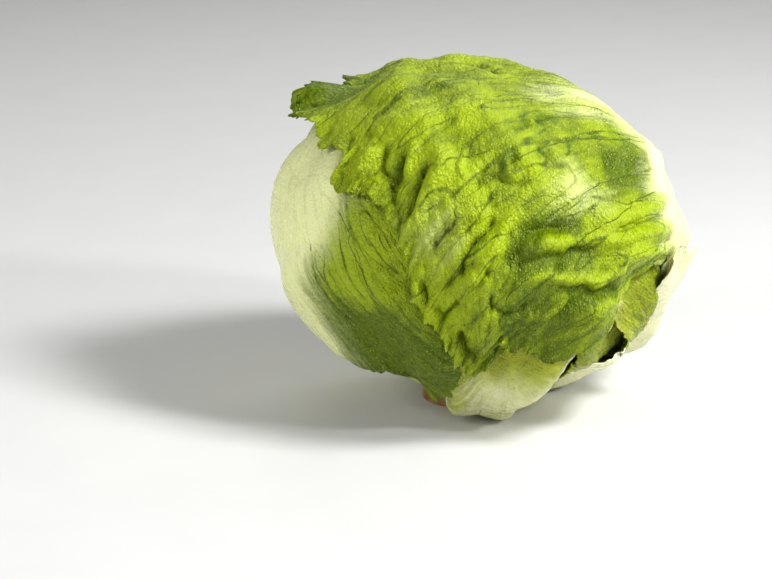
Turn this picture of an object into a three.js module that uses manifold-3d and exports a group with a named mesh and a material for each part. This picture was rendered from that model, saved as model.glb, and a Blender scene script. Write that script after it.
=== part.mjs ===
// A crisphead lettuce, standing on its cut stem: a dense heart and eight leaves round it.
// Millimetres, +Z up. The origin is the centre of the stem's cut face.
// Every leaf is drawn by its outline on a ball, and laid over the heart and the leaves below it.
import * as THREE from "three";
import { mergeVertices } from "three/addons/utils/BufferGeometryUtils.js";
import Module from "manifold-3d";

const wasm = await Module();
wasm.setup();

// Driving dimensions
const HEAD_CENTRE = new THREE.Vector3(6, 3, 71);
const HEAD_SEMI_AXES = new THREE.Vector3(82.5, 77, 67);
const HEAD_LEAN = 18; // degrees that the wide axis drops towards the right
const CHART_RADIUS = 80; // the ball on which every leaf is drawn before it is laid on the heart
const BLADE = 1.2; // thickness of a blade
const GAP = 1.9; // air between two leaves that lie on each other
const HEART_LEAF_DEPTH = 8; // how deep the middle of a heart leaf is rooted in the heart
const STEM_RADIUS = 16.5;
const STEM_HEIGHT = 32;
const STEM_SIDES = 40;
const STEM_CLEARANCE = 0.5; // between the stem and the heart round it
const LEAF_ROOT_RADIUS = 18.4; // how far from the stem's axis a leaf's base ends
const LEAF_ROOT_HEIGHT = 3;
const CORE_GAP = 2; // air between the core and the leaf that lies on it
const FAR = 40; // past this distance a leaf has no effect on the others
const PUFF_BAND = 20; // how far in from its margin a leaf is puffed up in full
const STACK_BAND = 22; // how gently the core gives way round a leaf's margin
const MARGIN_BAND = 17; // how far past a margin the leaves above still ride over it
const ROOT_BAND = 26; // round its base a leaf has no ruffle
const FLARE_BAND = 24; // how far in from the margin a leaf starts to stand off the head
const FLOOR_BLEND = 5; // below this height the undersides are pressed flat towards the floor
const RING_STEPS = 6; // points of the smooth outline for each corner that is given
const STRETCH = 7; // how many margin points in a row stand back together
const WAVE_STEP = 1.35; // radians of the ruffle's wave from one margin point to the next
const WAVE_SPAN = 6; // after so many margin points the wave changes its phase
const CORE_SIDES = 36;
const CORE_ROWS = 20;

// Dents and swellings of the head: direction, reach in degrees, height
const HEAD_SWELLS = [
  { at: [0, -90], reach: 34, height: -10 },
  { at: [50, -14], reach: 17, height: -7 },
  { at: [66, -50], reach: 24, height: -12 },
  { at: [84, 0], reach: 9, height: -3 },
  { at: [62, 40], reach: 30, height: 7 },
  { at: [117, 56], reach: 18, height: 1.5 },
  { at: [165, 73], reach: 12, height: -2.4 },
  { at: [95, 14], reach: 12, height: -2.5 },
  { at: [10, -70], reach: 15, height: 9 },
  { at: [32, -54], reach: 11, height: -4 },
  { at: [-118, 52], reach: 22, height: -4.6 },
];

const DEGREE = Math.PI / 180;

// A number from 0 to 1 that depends only on its index and seed.
function seeded(index, seed) {
  const s = Math.sin(index * 127.1 + seed * 311.7) * 43758.5453;
  return s - Math.floor(s);
}

function smooth(low, high, x) {
  const t = Math.min(1, Math.max(0, (x - low) / (high - low)));
  return t * t * (3 - 2 * t);
}

// Longitude 0 is the front (-Y) and 90 the right (+X); latitude 90 is up.
function direction([longitude, latitude]) {
  const lon = longitude * DEGREE;
  const lat = latitude * DEGREE;
  return new THREE.Vector3(
    Math.cos(lat) * Math.sin(lon),
    -Math.cos(lat) * Math.cos(lon),
    Math.sin(lat),
  );
}

// The direction of the point on the ring round the stem where a leaf's base ends.
function rootDirection(longitude) {
  const lon = longitude * DEGREE;
  return new THREE.Vector3(
    LEAF_ROOT_RADIUS * Math.sin(lon),
    -LEAF_ROOT_RADIUS * Math.cos(lon),
    LEAF_ROOT_HEIGHT,
  )
    .sub(HEAD_CENTRE)
    .normalize();
}

function pointDirection(point) {
  return point.root === undefined ? direction(point) : rootDirection(point.root);
}

// A flat chart of the ball round a centre: distances and bearings from the centre are true.
class Chart {
  constructor(centre) {
    this.centre = direction(centre);
    this.east = new THREE.Vector3(0, 0, 1).cross(this.centre).normalize();
    this.north = this.centre.clone().cross(this.east);
  }

  toPlane(dir) {
    const angle = Math.acos(Math.min(1, Math.max(-1, dir.dot(this.centre))));
    const bearing = Math.atan2(dir.dot(this.north), dir.dot(this.east));
    return new THREE.Vector2(Math.cos(bearing), Math.sin(bearing)).multiplyScalar(
      CHART_RADIUS * angle,
    );
  }

  toDirection(point) {
    const length = point.length();
    if (length < 1e-9) return this.centre.clone();
    const angle = length / CHART_RADIUS;
    return this.centre
      .clone()
      .multiplyScalar(Math.cos(angle))
      .addScaledVector(this.east, (Math.sin(angle) * point.x) / length)
      .addScaledVector(this.north, (Math.sin(angle) * point.y) / length);
  }
}

// A round swelling's height in a direction.
function swelling({ at, reach, height }, dir) {
  const angle = Math.acos(Math.min(1, Math.max(-1, dir.dot(direction(at))))) / DEGREE;
  return height * Math.exp(-((angle / reach) ** 2));
}

// Radius of the whole head in a direction: a leaning ellipsoid with its dents and swellings.
const leanCos = Math.cos(HEAD_LEAN * DEGREE);
const leanSin = Math.sin(HEAD_LEAN * DEGREE);
function headRadius(dir) {
  const wide = (dir.x * leanCos - dir.z * leanSin) / HEAD_SEMI_AXES.x;
  const deep = dir.y / HEAD_SEMI_AXES.y;
  const tall = (dir.x * leanSin + dir.z * leanCos) / HEAD_SEMI_AXES.z;
  let radius = 1 / Math.hypot(wide, deep, tall);
  for (const s of HEAD_SWELLS) radius += swelling(s, dir);
  return radius;
}

// Slow lumps that every leaf shares, so that leaves nest in each other.
function sharedLumps(dir) {
  return (
    1.3 * Math.sin(4.1 * dir.x + 2.3 * dir.z + 0.6) +
    1.0 * Math.sin(5.3 * dir.y - 3.1 * dir.z + 2.2) +
    0.8 * Math.sin(7.7 * dir.x + 5.9 * dir.y + 4.0)
  );
}

// Presses what comes near the floor flat, and keeps the order of what lies above.
function restOnFloor(z) {
  return z < FLOOR_BLEND ? FLOOR_BLEND * Math.exp((z - FLOOR_BLEND) / FLOOR_BLEND) : z;
}

// The leaves from the innermost to the outermost. Outlines are [longitude, latitude] in degrees
// round the margin, and { root: longitude } is a point on the ring round the stem.
const HEART_LEAVES = [
  {
    name: "heart_leaf_right",
    rooted: true,
    centre: [62, 5],
    outline: [
      [40, -28], [35, -8], [38, 6], [48, 20], [62, 26], [84, 24],
      [98, 10], [100, -12], [88, -30], [62, -36],
    ],
    root: 60,
    fan: [66, -6],
    rib: { width: 12, arch: 0, thickness: 0.6 },
    teeth: { count: 22, depth: 3, seed: 3 },
    ruffle: { height: 1.8, band: 12 },
  },
  {
    name: "heart_leaf_back",
    rooted: true,
    centre: [-160, 10],
    outline: [
      [150, -30], [145, 0], [155, 30], [175, 48], [-150, 50], [-118, 32],
      [-110, 0], [-120, -30], [-160, -42],
    ],
    root: -160,
    fan: [-160, -8],
    rib: { width: 12, arch: 0, thickness: 0.6 },
    teeth: { count: 18, depth: 3, seed: 4 },
    ruffle: { height: 0.4, band: 12 },
  },
  {
    name: "heart_leaf_left",
    rooted: true,
    centre: [-40, 20],
    outline: [
      [-85, -20], [-88, 15], [-78, 45], [-40, 62], [0, 48], [12, 20],
      [2, -12], [-22, -30], [-55, -34],
    ],
    root: -40,
    fan: [-45, 0],
    rib: { width: 12, arch: 0, thickness: 0.6 },
    teeth: { count: 18, depth: 3, seed: 5 },
    ruffle: { height: 0.4, band: 12 },
  },
];

const WRAPPER_LEAVES = [
  {
    name: "leaf_inner_right",
    wide: true,
    centre: [60, -40],
    outline: [
      { root: 34 }, [30, -56], [26, -36], [32, -20], [38, -15], [43, -19],
      [48, -16], [54, -20], [62, -14], [74, -8], [92, -8], [106, -20],
      [110, -42], [104, -62], { root: 96 }, { root: 66 },
    ],
    root: 66,
    fan: [68, -34],
    rib: { width: 18, arch: 1.5, thickness: 4 },
    teeth: { count: 28, depth: 3, seed: 13 },
    ruffle: { height: 2.6, band: 11 },
  },
  {
    name: "leaf_torn",
    wide: true,
    centre: [76, -20],
    outline: [
      { root: 60 }, [60, -56], [59, -38], [55, -24], [47, -15], [46, -8],
      [50, 0], [58, 8], [74, 11], [90, 7], [98, -16], [100, -44],
      { root: 94 }, { root: 78 },
    ],
    root: 78,
    fan: [78, -18],
    rib: { width: 14, arch: 1, thickness: 1.4 },
    teeth: { count: 22, depth: 4, seed: 18 },
    ruffle: { height: 2, band: 10 },
  },
  {
    name: "leaf_front_left",
    centre: [-50, -38],
    outline: [
      { root: -22 }, [-22, -60], [-16, -42], [-20, -20], [-38, -8], [-60, -8],
      [-78, -20], [-84, -42], [-88, -62], { root: -84 }, { root: -52 },
    ],
    root: -52,
    fan: [-50, -26],
    rib: { width: 22, arch: 1.4, thickness: 4 },
    teeth: { count: 32, depth: 3, seed: 11 },
    ruffle: { height: 0.6, band: 12 },
  },
  {
    name: "leaf_front",
    centre: [10, -34],
    outline: [
      { root: 46 }, [23, -68], [20, -59], [20, -49], [24, -37], [30, -20],
      [24, -4], [10, 6], [-8, 2], [-17, -14], [-18, -34], [-18, -54],
      { root: -24 }, { root: 18 },
    ],
    root: 20,
    fan: [8, -14],
    rib: { width: 23, arch: 7.5, thickness: 7 },
    teeth: { count: 32, depth: 1.2, seed: 12 },
    ruffle: { height: 0.4, band: 12 },
  },
  {
    name: "leaf_back",
    wide: true,
    centre: [-178, -8],
    outline: [
      { root: 148 }, [138, -54], [122, -28], [112, 2], [120, 30], [148, 50],
      [180, 62], [-148, 58], [-124, 36], [-116, 0], [-124, -28], [-140, -54],
      { root: -146 }, { root: -179 },
    ],
    root: -179,
    fan: [-178, -16],
    rib: { width: 21, arch: 4, thickness: 5.5 },
    teeth: { count: 46, depth: 4, seed: 14 },
    ruffle: { height: 1, band: 14 },
  },
  {
    name: "leaf_left",
    wide: true,
    centre: [-86, 46],
    outline: [
      { root: -100 }, [-80, -60], [-78, -47], [-66, -41], [-54, -42], [-43, -40],
      [-34, -41], [-27, -46], [-19, -49], [-12, -45], [-7, -37], [-5, -24],
      [-3, -8], [-4, 10], [-14, 30], [-34, 46], [-62, 56], [-98, 60],
      [-132, 52], [-150, 26], [-152, -14], [-142, -46], { root: -146 },
      { root: -126 },
    ],
    root: -126,
    fan: [-68, 22],
    rib: { width: 24, arch: 2, thickness: 3.6 },
    teeth: { count: 62, depth: 3.5, seed: 15 },
    ruffle: { height: 0.9, band: 14 },
  },
  {
    name: "leaf_cap",
    wide: true,
    puff: 3.4,
    centre: [112, 72],
    outline: [
      [-118, 41], [-108, 37], [-98, 28], [-80, 33], [-70, 28], [-62, 31],
      [-54, 27], [-53, 19], [-46, 19], [-36, 19], [-29, 14], [-24, 5],
      [-21, -7], [-15, -17], [-10, -26], [-4, -34], [4, -27], [12, -24],
      [18, -27], [25, -25], [32, -22], [36, -17], [39, -12], [44, -10],
      [54, -8], [65, -4], [76, -10], [85, -28], [92, -52], { root: 94 }, { root: 116 },
      { root: 134 }, [142, -52], [146, -20], [152, 10], [172, 30], [-160, 38],
      [-136, 38],
    ],
    root: 118,
    fan: [92, -2],
    rib: { width: 24, arch: 3, thickness: 4.4 },
    teeth: { count: 68, depth: 3.5, seed: 16 },
    ruffle: { height: 2.2, band: 15 },
    flares: [{ at: [-104, 35], reach: 12, height: 14 }],
    folds: [
      { from: [62, 12], to: [20, 4], width: 7, height: -3 },
      { from: [70, 4], to: [6, -6], width: 6, height: 3 },
      { from: [40, -2], to: [0, -14], width: 7, height: -3.2 },
      { from: [60, 2], to: [14, -22], width: 6, height: 2.6 },
      { from: [6, 6], to: [-16, -12], width: 5, height: 3 },
      { from: [0, 12], to: [-20, -2], width: 4.5, height: -2.4 },
      { from: [-4, 20], to: [-22, 4], width: 5, height: 2.2 },
      { from: [-20, 34], to: [-44, 22], width: 5, height: 2 },
      { from: [64, 40], to: [-70, 44], width: 9, height: 2.4 },
    ],
  },
  {
    name: "leaf_right",
    wide: true,
    centre: [82, -34],
    outline: [
      { root: 66 }, [56, -58], [44, -45], [34, -38], [38, -33], [47, -30],
      [56, -28], [63, -22], [62, -10], [64, 1], [74, 1], [86, -3],
      [100, -8], [116, -20], [124, -40], [120, -60], { root: 112 }, { root: 80 },
    ],
    root: 80,
    fan: [86, -26],
    rib: { width: 22, arch: 2.5, thickness: 4.6 },
    teeth: { count: 36, depth: 2.6, seed: 17 },
    ruffle: { height: 1.6, band: 10 },
  },
];

// Closed smooth curve through points of the chart, as a dense ring of points.
function smoothRing(points) {
  const n = points.length;
  const ring = [];
  for (let i = 0; i < n; i++) {
    const [a, b, c, d] = [-1, 0, 1, 2].map((k) => points[(i + k + n) % n]);
    for (let k = 0; k < RING_STEPS; k++) {
      const t = k / RING_STEPS;
      const wa = -t + 2 * t * t - t ** 3;
      const wb = 2 - 5 * t * t + 3 * t ** 3;
      const wc = t + 4 * t * t - 3 * t ** 3;
      const wd = -t * t + t ** 3;
      ring.push(
        new THREE.Vector2(
          0.5 * (wa * a.x + wb * b.x + wc * c.x + wd * d.x),
          0.5 * (wa * a.y + wb * b.y + wc * c.y + wd * d.y),
        ),
      );
    }
  }
  return ring;
}

// The same ring with its points at equal distances.
function evenRing(ring, count) {
  const lengths = [0];
  for (let i = 0; i < ring.length; i++) {
    lengths.push(lengths[i] + ring[i].distanceTo(ring[(i + 1) % ring.length]));
  }
  const total = lengths[ring.length];
  const even = [];
  let i = 0;
  for (let k = 0; k < count; k++) {
    const at = (total * k) / count;
    while (lengths[i + 1] < at) i++;
    const t = (at - lengths[i]) / (lengths[i + 1] - lengths[i]);
    even.push(ring[i].clone().lerp(ring[(i + 1) % ring.length], t));
  }
  return even;
}

// Rings of a leaf's mesh: scale of the margin, and how many margin points make one of its own.
const NARROW_RINGS = [[1, 1], [0.9, 1], [0.76, 2], [0.58, 2], [0.38, 2], [0.18, 4]];
const WIDE_RINGS = [
  [1, 1], [0.96, 1], [0.91, 2], [0.85, 2], [0.77, 2], [0.67, 2], [0.55, 2], [0.42, 2],
  [0.28, 2], [0.14, 4],
];

// The shortest arc on the ball between two directions.
function arcBetween(start, end) {
  const side = start.clone().cross(end).normalize();
  return { start, end, side, forward: side.clone().cross(start), angle: start.angleTo(end) };
}

function prepare(spec) {
  const chart = new Chart(spec.centre);
  const ring = smoothRing(spec.outline.map((p) => chart.toPlane(pointDirection(p))));
  return {
    puff: 0,
    rooted: false,
    wide: false,
    flares: [],
    ...spec,
    chart,
    ring,
    reach: Math.max(...ring.map((p) => p.length())),
    rootDir: rootDirection(spec.root),
    ribArc: arcBetween(rootDirection(spec.root), direction(spec.fan)),
    folds: (spec.folds ?? []).map(({ from, to, width, height }) => ({
      arc: arcBetween(direction(from), direction(to)),
      width,
      height,
    })),
  };
}

const layers = [...HEART_LEAVES, ...WRAPPER_LEAVES].map(prepare);

// Where a direction lies beside an arc on the ball: share of the way along, and distance from it.
function beside(dir, arc) {
  const along = Math.atan2(dir.dot(arc.forward), dir.dot(arc.start));
  const share = Math.min(1, Math.max(0, along / arc.angle));
  const within = share > 0 && share < 1;
  const nearestEnd = share > 0 ? arc.end : arc.start;
  const angle = within ? Math.abs(Math.asin(dir.dot(arc.side))) : dir.angleTo(nearestEnd);
  return [share, CHART_RADIUS * angle];
}

// 1 on the midrib, fading sideways and towards the fan, and low at the very base.
function ribProfile(leaf, dir) {
  const [share, offset] = beside(dir, leaf.ribArc);
  const along = (0.3 + 0.7 * smooth(0, 0.25, share)) * (1 - smooth(0.4, 1, share));
  return along * Math.exp(-((offset / leaf.rib.width) ** 2));
}

function thicknessAt(leaf, dir) {
  return BLADE + leaf.rib.thickness * ribProfile(leaf, dir);
}

// How far a point lies outside the leaf's margin, or inside it as a negative number.
function pastMargin(leaf, point) {
  if (point.length() > leaf.reach + FAR) return FAR;
  const { ring } = leaf;
  let nearest = Infinity;
  let inside = false;
  for (let i = 0, j = ring.length - 1; i < ring.length; j = i++) {
    const a = ring[i];
    const b = ring[j];
    const sx = b.x - a.x;
    const sy = b.y - a.y;
    const px = point.x - a.x;
    const py = point.y - a.y;
    const share = Math.min(1, Math.max(0, (px * sx + py * sy) / (sx * sx + sy * sy)));
    nearest = Math.min(nearest, Math.hypot(px - share * sx, py - share * sy));
    const crosses = a.y > point.y !== b.y > point.y;
    if (crosses && px < (sx * py) / sy) inside = !inside;
  }
  return inside ? -nearest : nearest;
}

function foldsAt(leaf, dir) {
  let height = 0;
  for (const fold of leaf.folds) {
    const [share, offset] = beside(dir, fold.arc);
    height += fold.height * Math.sin(Math.PI * share) * Math.exp(-((offset / fold.width) ** 2));
  }
  return height;
}

// Radius of the core: the heart gives way under its leaves, so the head keeps its own outline.
function coreRadius(dir) {
  let radius = headRadius(dir) + sharedLumps(dir);
  for (const leaf of layers) {
    const point = leaf.chart.toPlane(dir);
    const cover = 1 - smooth(-STACK_BAND, STACK_BAND, pastMargin(leaf, point));
    radius -= cover * (thicknessAt(leaf, dir) + leaf.puff + GAP);
  }
  return radius;
}

// Radius at which the inner face of a layer lies: the core and every leaf below it.
function innerRadius(level, dir) {
  let radius = coreRadius(dir) + CORE_GAP;
  for (let k = 0; k < level; k++) {
    const below = layers[k];
    const point = below.chart.toPlane(dir);
    const past = pastMargin(below, point);
    if (past > MARGIN_BAND) continue;
    const cover = 1 - smooth(3, MARGIN_BAND, past);
    const ruffle = below.ruffle.height * smooth(-below.ruffle.band, -2, past);
    const puff = below.puff * smooth(-2, -PUFF_BAND, past);
    const lift = below.rib.arch * ribProfile(below, dir) + puff + ruffle;
    radius += cover * (lift + thicknessAt(below, dir) + GAP);
  }
  return radius;
}

// Points of the chart round a leaf's margin: every second one is a notch between two teeth,
// and whole stretches stand back by chance, as an uneven margin does.
function marginPoints(leaf) {
  const { count, depth, seed } = leaf.teeth;
  return evenRing(leaf.ring, 2 * count).map((point, k) => {
    const notch = k % 2 ? depth * (0.3 + 0.7 * seeded(k, seed)) : 0;
    const stretch = 0.6 * depth * seeded(Math.floor(k / STRETCH), seed + 1);
    return { point, inset: (notch + stretch) / point.length() };
  });
}

// Triangles between two closed rings of points, of which the inner one may have fewer.
function bandFaces(outerStart, outerCount, innerStart, innerCount) {
  const faces = [];
  let j = 0;
  for (let i = 0; i < outerCount; i++) {
    const next = outerStart + ((i + 1) % outerCount);
    const inner = innerStart + (j % innerCount);
    faces.push([outerStart + i, next, inner]);
    if ((j + 1) / innerCount <= (i + 1) / outerCount) {
      j++;
      faces.push([next, innerStart + (j % innerCount), inner]);
    }
  }
  return faces;
}

// The closed thin shell of one leaf. Rings of its outline shrink towards the chart's centre.
function leafGeometry(level) {
  const leaf = layers[level];
  const margin = marginPoints(leaf);
  const middle = [];
  const faces = [];
  let outer = null;
  for (const [scale, share] of leaf.wide ? WIDE_RINGS : NARROW_RINGS) {
    const ring = { start: middle.length, count: Math.ceil(margin.length / share) };
    for (let i = 0; i < ring.count; i++) {
      const k = Math.round((i * margin.length) / ring.count);
      const toothed = 1 - margin[k].inset * smooth(0.8, 1, scale);
      const point = margin[k].point.clone().multiplyScalar(scale * toothed);
      middle.push(surfacePoint(leaf, level, point, k));
    }
    if (outer) faces.push(...bandFaces(outer.start, outer.count, ring.start, ring.count));
    outer = ring;
  }
  const centre = middle.length;
  middle.push(surfacePoint(leaf, level, new THREE.Vector2(0, 0), 0));
  for (let i = 0; i < outer.count; i++) {
    faces.push([outer.start + i, outer.start + ((i + 1) % outer.count), centre]);
  }
  return shell(middle, faces, margin.length);
}

// Middle of the blade at a point of the chart, with its half thickness.
function surfacePoint(leaf, level, point, k) {
  const toMargin = -pastMargin(leaf, point);
  const dir = leaf.chart.toDirection(point);
  const thickness = thicknessAt(leaf, dir);
  const edge = smooth(leaf.ruffle.band, 0, toMargin);
  const phase = 2 * seeded(Math.floor(k / WAVE_SPAN), leaf.teeth.seed);
  const wave = 0.5 + 0.5 * Math.sin(WAVE_STEP * k + phase);
  const fromRoot = CHART_RADIUS * dir.angleTo(leaf.rootDir);
  const offRoot = 1 - Math.exp(-((fromRoot / ROOT_BAND) ** 2));
  const inside = smooth(2, PUFF_BAND, toMargin);
  const flare = leaf.flares.reduce((sum, f) => sum + swelling(f, dir), 0);
  const lift =
    leaf.rib.arch * ribProfile(leaf, dir) +
    (foldsAt(leaf, dir) + leaf.puff) * inside +
    leaf.ruffle.height * wave * edge * offRoot +
    flare * smooth(FLARE_BAND, 0, toMargin);
  const radius = innerRadius(level, dir) + lift + thickness / 2;
  const depth = leaf.rooted ? HEART_LEAF_DEPTH * smooth(4, 13, toMargin) : 0;
  const place = HEAD_CENTRE.clone().addScaledVector(dir, radius);
  return { at: place, half: thickness / 2, dir, depth };
}

// Two faces with the same triangles, half a thickness either side of the middle, and a rim.
function shell(middle, faces, rimCount) {
  const normals = middle.map(() => new THREE.Vector3());
  for (const [a, b, c] of faces) {
    const face = middle[b].at
      .clone()
      .sub(middle[a].at)
      .cross(middle[c].at.clone().sub(middle[a].at));
    for (const k of [a, b, c]) normals[k].add(face);
  }
  const positions = [];
  for (const side of [1, -1]) {
    middle.forEach((m, i) => {
      const normal = normals[i].clone().normalize();
      if (normal.dot(m.dir) < 0) normal.negate();
      const p = m.at.clone().addScaledVector(normal, side * m.half);
      if (side < 0) p.addScaledVector(m.dir, -m.depth);
      positions.push(p.x, p.y, restOnFloor(p.z));
    });
  }
  const n = middle.length;
  const outward = middle.reduce((sum, m, i) => sum + normals[i].dot(m.dir), 0) > 0;
  const index = [];
  for (const [p, q, r] of faces) {
    if (outward) index.push(p, q, r, n + p, n + r, n + q);
    else index.push(p, r, q, n + p, n + q, n + r);
  }
  for (let i = 0; i < rimCount; i++) {
    const j = (i + 1) % rimCount;
    if (outward) index.push(i, n + i, n + j, i, n + j, j);
    else index.push(i, n + j, n + i, i, j, n + j);
  }
  return new THREE.BufferGeometry()
    .setAttribute("position", new THREE.Float32BufferAttribute(positions, 3))
    .setIndex(index);
}

function toSolid(geometry) {
  const bare = geometry.clone();
  bare.deleteAttribute("normal");
  bare.deleteAttribute("uv");
  const merged = mergeVertices(bare, 1e-3);
  return new wasm.Manifold(
    new wasm.Mesh({
      numProp: 3,
      vertProperties: merged.attributes.position.array,
      triVerts: new Uint32Array(merged.index.array),
    }),
  );
}

function toGeometry(solid) {
  const mesh = solid.getMesh();
  return new THREE.BufferGeometry()
    .setAttribute("position", new THREE.BufferAttribute(mesh.vertProperties, 3))
    .setIndex(new THREE.BufferAttribute(mesh.triVerts, 1));
}

// The heart's core, as a ball of rings pulled to the heart's own radius.
function coreGeometry() {
  const ball = new THREE.SphereGeometry(1, CORE_SIDES, CORE_ROWS).rotateX(Math.PI / 2);
  const at = ball.attributes.position;
  const dir = new THREE.Vector3();
  for (let i = 0; i < at.count; i++) {
    dir.fromBufferAttribute(at, i).normalize();
    const p = HEAD_CENTRE.clone().addScaledVector(dir, coreRadius(dir));
    at.setXYZ(i, p.x, p.y, p.z);
  }
  return ball;
}

// The cut stem: a stout core that narrows as it goes up into the heart.
function stemGeometry(clearance) {
  const profile = [
    [0, 0],
    [STEM_RADIUS - 0.8, 0],
    [STEM_RADIUS, 0.9],
    [STEM_RADIUS - 0.6, 4],
    [STEM_RADIUS - 4.5, 13],
    [STEM_RADIUS - 7.5, STEM_HEIGHT - 6],
    [STEM_RADIUS - 10.5, STEM_HEIGHT - 1.5],
    [0, STEM_HEIGHT],
  ].map(([r, z]) => {
    const radius = r > 0 ? r + clearance : 0;
    const height = z > 0 ? z + clearance : -clearance;
    return new THREE.Vector2(radius, height);
  });
  return new THREE.LatheGeometry(profile, STEM_SIDES).rotateX(Math.PI / 2);
}

function heartGeometry() {
  let solid = toSolid(coreGeometry());
  HEART_LEAVES.forEach((_, level) => {
    solid = solid.add(toSolid(leafGeometry(level)));
  });
  return toGeometry(solid.subtract(toSolid(stemGeometry(STEM_CLEARANCE))));
}

function material(colour, roughness) {
  return new THREE.MeshStandardMaterial({ color: colour, roughness, metalness: 0 });
}

function named(name, geometry, look) {
  const mesh = new THREE.Mesh(geometry, look);
  mesh.name = name;
  return mesh;
}

const lettuce = new THREE.Group();
lettuce.add(named("stem", stemGeometry(0), material(0xc9b27a, 0.7)));
lettuce.add(named("heart", heartGeometry(), material(0xd5dc7e, 0.55)));
WRAPPER_LEAVES.forEach((spec, k) => {
  const pale = ["leaf_front", "leaf_front_left", "leaf_right"].includes(spec.name);
  const look = material(pale ? 0xc8d38a : 0x8fb32e, 0.45);
  lettuce.add(named(spec.name, leafGeometry(HEART_LEAVES.length + k), look));
});

export default lettuce;
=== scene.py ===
"""A crisphead lettuce on a plain floor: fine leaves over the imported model's plain ones.

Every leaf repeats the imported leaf's outline and stacking rule, then gets its own folds,
puckers between veins, torn teeth and ruffles. The leaf formulas work in millimetres, in the
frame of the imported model, and the meshes are made in metres.
"""
import math

import bpy
import numpy as np
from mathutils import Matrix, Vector, kdtree


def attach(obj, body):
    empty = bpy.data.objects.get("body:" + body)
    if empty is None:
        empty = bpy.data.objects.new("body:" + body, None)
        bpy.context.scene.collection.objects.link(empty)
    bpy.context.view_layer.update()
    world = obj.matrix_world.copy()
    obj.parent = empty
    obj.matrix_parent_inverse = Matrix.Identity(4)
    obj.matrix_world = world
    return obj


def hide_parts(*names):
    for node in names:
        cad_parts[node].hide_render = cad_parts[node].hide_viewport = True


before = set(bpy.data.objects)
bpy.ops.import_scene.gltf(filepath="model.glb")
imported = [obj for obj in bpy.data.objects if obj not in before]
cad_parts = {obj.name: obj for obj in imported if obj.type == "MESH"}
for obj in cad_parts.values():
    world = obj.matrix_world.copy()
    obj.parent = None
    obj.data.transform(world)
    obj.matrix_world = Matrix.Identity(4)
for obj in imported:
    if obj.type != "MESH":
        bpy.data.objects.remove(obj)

MM = 0.001
DEGREE = math.pi / 180
BODY = "root"

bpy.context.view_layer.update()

# The camera: the photograph's angle of view, and the scale at the head
VIEW_ELEVATION = 17 * DEGREE
VIEW_DISTANCE = 1.0
METRES_PER_PIXEL = 0.0004156
PHOTO_WIDTH = 772
PHOTO_CENTRE = (386, 289.5)
ORIGIN_PIXEL = (462, 395)
SENSOR_WIDTH = 36

# Softboxes: heading from the head, distance and size in metres, power in watts
SOFTBOXES = {
    "key": ((0.6, -0.26, 0.72), 1.1, (0.26, 0.26), 15),
    "spark": ((0.75, -0.45, 0.48), 0.9, (0.1, 0.1), 4),
    "back": ((0.1, 0.8, 0.75), 1.2, (0.8, 0.4), 3),
    "left": ((-0.8, -0.45, 0.4), 1.3, (0.35, 0.7), 8),
}
LIGHTS_AIM = (0, 0, 0.07)
WORLD_STRENGTH = 0.22
FLOOR_HALF = 4.0

# The head, its stem and the stacking of its leaves, in millimetres
HEAD_CENTRE = np.array([6.0, 3.0, 71.0])
HEAD_SEMI_AXES = (82.5, 77, 67)
HEAD_LEAN = 18 * DEGREE
CHART_RADIUS = 80
SOLID_BLADE = 1.2
BLADE = 0.7
GAP = 1.9
STEM_RADIUS = 16.5
STEM_HEIGHT = 32
STEM_SIDES = 120
LEAF_ROOT_RADIUS = 18.4
LEAF_ROOT_HEIGHT = 3
CORE_GAP = 2
CORE_RINGS = 89
CORE_SIDES = 180
CORE_WRINKLE_SIZE = 9
CORE_FOOT = STEM_HEIGHT + 14
FLOOR_BLEND = 5
LEAST_GAP = 0.4

# Bands beside a margin or a root in which a rule of the leaves fades in, in millimetres
FAR = 40
PUFF_BAND = 20
STACK_BAND = 22
MARGIN_BAND = 17
ROOT_BAND = 26
FLARE_BAND = 24
RIM_BAND = 5
CALM_BAND = 11
HIDDEN_BAND = (-13, -3)
FILLED_BAND = (-3, 5)

# Spacing of the mesh's points at a margin, in millimetres. A blade's inner face is coarser, by
# the number of steps, and stands back a little.
MARGIN_STEP = 0.85
HIDDEN_STEPS = 3
HIDDEN_SPARE = 0.8

# Relief of the blades, in millimetres. A cell that fans out with the veins has a length, and a
# number of such cells to each radian.
THREAD_CELLS = (50, 17)
FOLD_CELLS = (30, 8)
PUCKER_CELLS = (8, 12)
WRINKLE_CELLS = (4.5, 26)
LUMP_SIZE = 5.5
PATCH_SIZE = 26
FOLD_WARP = 1.6
FOLD_WARP_SIZE = 9
FRAY_SIZES = (3.1, 1.7)
RUFFLE_DRIFT = 3
RUFFLE_DRIFT_SIZE = 30

# Waves of a margin: length, share of the ruffle's height, share of its band
RUFFLE_WAVES = [(19, 1.0, 1.0), (8.5, 0.6, 0.5), (4.1, 0.32, 0.22)]

# Dents and swellings of the head: longitude, latitude, reach in degrees, height
HEAD_SWELLS = [
    (0, -90, 34, -10), (50, -14, 17, -7), (66, -50, 24, -12), (84, 0, 9, -3), (62, 40, 30, 7),
    (117, 56, 18, 1.5), (165, 73, 12, -2.4), (95, 14, 12, -2.5), (10, -70, 15, 9),
    (32, -54, 11, -4), (-118, 52, 22, -4.6),
]

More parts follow.
